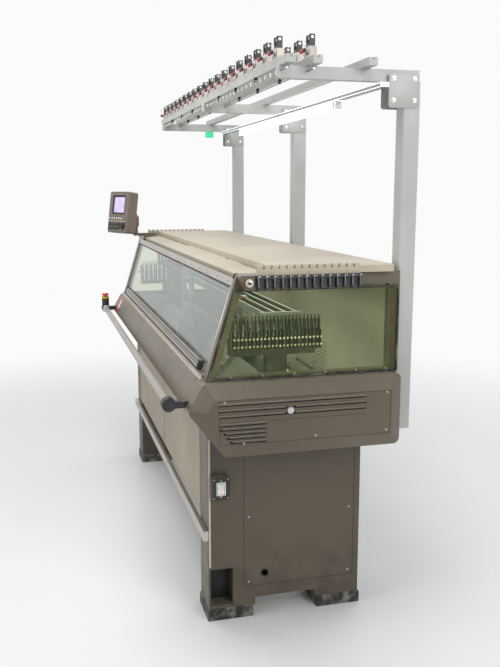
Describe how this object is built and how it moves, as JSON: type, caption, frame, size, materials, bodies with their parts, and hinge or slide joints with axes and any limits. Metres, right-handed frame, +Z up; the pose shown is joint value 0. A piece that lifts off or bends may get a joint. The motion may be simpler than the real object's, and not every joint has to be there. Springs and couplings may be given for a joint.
{
  "type": "flat knitting machine",
  "caption": "Computerised flat knitting machine with a tilting front cover, a control panel at its left end, a running carriage, a stop bar and an overhead yarn stand.",
  "frame": {"origin": "on the floor under the middle of the machine's bounding box", "axes": "+X along the machine towards the operator's right, -Y towards the operator, +Z up"},
  "size_m": [2.6, 0.892, 2.1],
  "materials": {
    "casing_paint": "satin",
    "table_paint": "satin",
    "apron_paint": "satin",
    "stand_paint": "satin",
    "frame_iron": "machined",
    "bright_aluminium": "brushed",
    "bed_steel": "ground",
    "black_plastic": "moulded",
    "panel_plastic": "moulded",
    "key_plastic": "polished",
    "red_plastic": "polished",
    "green_plastic": "polished",
    "screen_plastic": "polished",
    "lamp_plastic": "polished",
    "belt_rubber": "matte",
    "foot_rubber": "matte",
    "clear_glass": "polished",
    "tinted_glass": "polished"
  },
  "bodies": {
    "frame": {"leg_left": "casing_paint", "leg_right": "casing_paint", "feet": "foot_rubber", "bed_frame": "frame_iron", "cross_stays": "bright_aluminium", "front_apron": "apron_paint", "end_casing_left": "casing_paint", "end_casing_right": "casing_paint", "front_fascia": "casing_paint", "cover_sill": "bright_aluminium", "end_window_left": "tinted_glass", "end_window_right": "tinted_glass", "window_frame_left": "casing_paint", "window_frame_right": "casing_paint", "hood": "table_paint", "table_top": "table_paint", "rear_cover": "casing_paint", "panel_post": "casing_paint", "bar_brackets": "black_plastic", "stop_housing": "black_plastic", "needle_bed_front": "bed_steel", "carrier_rails": "bed_steel", "drive_belt": "belt_rubber", "drive_motor": "black_plastic", "side_tension_left": "black_plastic", "side_tension_right": "black_plastic", "yarn_hooks": "black_plastic", "stand_posts": "stand_paint", "stand_rails": "stand_paint", "top_tension_units": "black_plastic", "lamp_tube": "lamp_plastic", "signal_lamp": "green_plastic", "switch_box": "black_plastic"},
    "cover": {"cover_glass": "clear_glass", "cover_top_strip": "bright_aluminium", "cover_handle_rail": "bright_aluminium"},
    "panel": {"panel_housing": "panel_plastic", "panel_screen": "screen_plastic", "keypad": "black_plastic"},
    "dial": {"dial_knob": "black_plastic"},
    "bar": {"operating_bar": "bright_aluminium"},
    "stop": {"stop_button": "red_plastic"},
    "rear_bed": {"needle_bed_rear": "bed_steel"},
    "carriage": {"carriage_bridge": "casing_paint", "cam_boxes": "frame_iron"},
    "pulley_left": {"drive_pulley_left": "bright_aluminium"},
    "pulley_right": {"drive_pulley_right": "bright_aluminium"},
    "carrier_1": {"yarn_carrier_1": "bed_steel"},
    "carrier_2": {"yarn_carrier_2": "bed_steel"},
    "roller_front": {"takedown_roller_front": "belt_rubber"},
    "roller_rear": {"takedown_roller_rear": "belt_rubber"},
    "rocker": {"switch_rocker": "key_plastic"},
    "lock_left": {"casing_lock_left": "bed_steel"},
    "lock_right": {"casing_lock_right": "bed_steel"},
    "key_1": {"function_key_1": "key_plastic"},
    "key_2": {"function_key_2": "key_plastic"},
    "key_3": {"function_key_3": "key_plastic"},
    "key_4": {"function_key_4": "key_plastic"},
    "key_5": {"function_key_5": "key_plastic"},
    "key_6": {"function_key_6": "key_plastic"}
  },
  "joints": [
    {"name": "cover_hinge", "type": "hinge", "parent": "frame", "child": "cover", "pos_m": [0, -0.19, 1.322], "axis": [-1, 0, 0], "range_deg": [0, 65]},
    {"name": "panel_swivel", "type": "hinge", "parent": "frame", "child": "panel", "pos_m": [-1.222, -0.222, 1.396], "axis": [0, 0, 1], "range_deg": [-30, 40]},
    {"name": "dial_turn", "type": "hinge", "parent": "panel", "child": "dial", "pos_m": [-1.10385, -0.31215, 1.39681], "axis": [0.4649, -0.8744, 0.1392], "continuous": true},
    {"name": "bar_turn", "type": "hinge", "parent": "frame", "child": "bar", "pos_m": [0, -0.422, 0.9], "axis": [1, 0, 0], "range_deg": [-15, 15], "stiffness_Nm_per_rad": 2},
    {"name": "stop_press", "type": "slide", "parent": "frame", "child": "stop", "axis": [0, 0, -1], "range_m": [0, 0.005], "stiffness_N_per_m": 400},
    {"name": "bed_racking", "type": "slide", "parent": "frame", "child": "rear_bed", "axis": [1, 0, 0], "range_m": [-0.025, 0.025]},
    {"name": "carriage_run", "type": "slide", "parent": "frame", "child": "carriage", "axis": [1, 0, 0], "range_m": [-0.82, 0.82]},
    {"name": "pulley_left_turn", "type": "hinge", "parent": "frame", "child": "pulley_left", "pos_m": [-1.072, 0.252, 0.85], "axis": [0, 1, 0], "range_deg": [-1500, 1500]},
    {"name": "pulley_right_turn", "type": "hinge", "parent": "frame", "child": "pulley_right", "pos_m": [1.072, 0.252, 0.85], "axis": [0, 1, 0], "range_deg": [-1500, 1500]},
    {"name": "carrier_1_run", "type": "slide", "parent": "frame", "child": "carrier_1", "axis": [1, 0, 0], "range_m": [-1.66, 0.38]},
    {"name": "carrier_2_run", "type": "slide", "parent": "frame", "child": "carrier_2", "axis": [1, 0, 0], "range_m": [-0.38, 1.66]},
    {"name": "roller_front_turn", "type": "hinge", "parent": "frame", "child": "roller_front", "pos_m": [0, -0.0325, 0.64], "axis": [1, 0, 0], "continuous": true},
    {"name": "roller_rear_turn", "type": "hinge", "parent": "frame", "child": "roller_rear", "pos_m": [0, 0.0325, 0.64], "axis": [1, 0, 0], "continuous": true},
    {"name": "rocker_tip", "type": "hinge", "parent": "frame", "child": "rocker", "pos_m": [1.046, -0.214, 0.533], "axis": [0, 1, 0], "range_deg": [0, 8]},
    {"name": "lock_left_turn", "type": "hinge", "parent": "frame", "child": "lock_left", "pos_m": [-1.293, -0.03, 0.882], "axis": [-1, 0, 0], "range_deg": [0, 90]},
    {"name": "lock_right_turn", "type": "hinge", "parent": "frame", "child": "lock_right", "pos_m": [1.293, -0.03, 0.882], "axis": [1, 0, 0], "range_deg": [0, 90]},
    {"name": "key_1_press", "type": "slide", "parent": "panel", "child": "key_1", "axis": [-0.4649, 0.8744, -0.1392], "range_m": [0, 0.002], "stiffness_N_per_m": 200},
    {"name": "key_2_press", "type": "slide", "parent": "panel", "child": "key_2", "axis": [-0.4649, 0.8744, -0.1392], "range_m": [0, 0.002], "stiffness_N_per_m": 200},
    {"name": "key_3_press", "type": "slide", "parent": "panel", "child": "key_3", "axis": [-0.4649, 0.8744, -0.1392], "range_m": [0, 0.002], "stiffness_N_per_m": 200},
    {"name": "key_4_press", "type": "slide", "parent": "panel", "child": "key_4", "axis": [-0.4649, 0.8744, -0.1392], "range_m": [0, 0.002], "stiffness_N_per_m": 200},
    {"name": "key_5_press", "type": "slide", "parent": "panel", "child": "key_5", "axis": [-0.4649, 0.8744, -0.1392], "range_m": [0, 0.002], "stiffness_N_per_m": 200},
    {"name": "key_6_press", "type": "slide", "parent": "panel", "child": "key_6", "axis": [-0.4649, 0.8744, -0.1392], "range_m": [0, 0.002], "stiffness_N_per_m": 200}
  ],
  "couplings": [
    {"joint": "pulley_left_turn", "follows": "carriage_run", "rad_per_m": 31.746},
    {"joint": "pulley_right_turn", "follows": "carriage_run", "rad_per_m": 31.746},
    {"joint": "roller_rear_turn", "follows": "roller_front_turn", "ratio": -1}
  ]
}
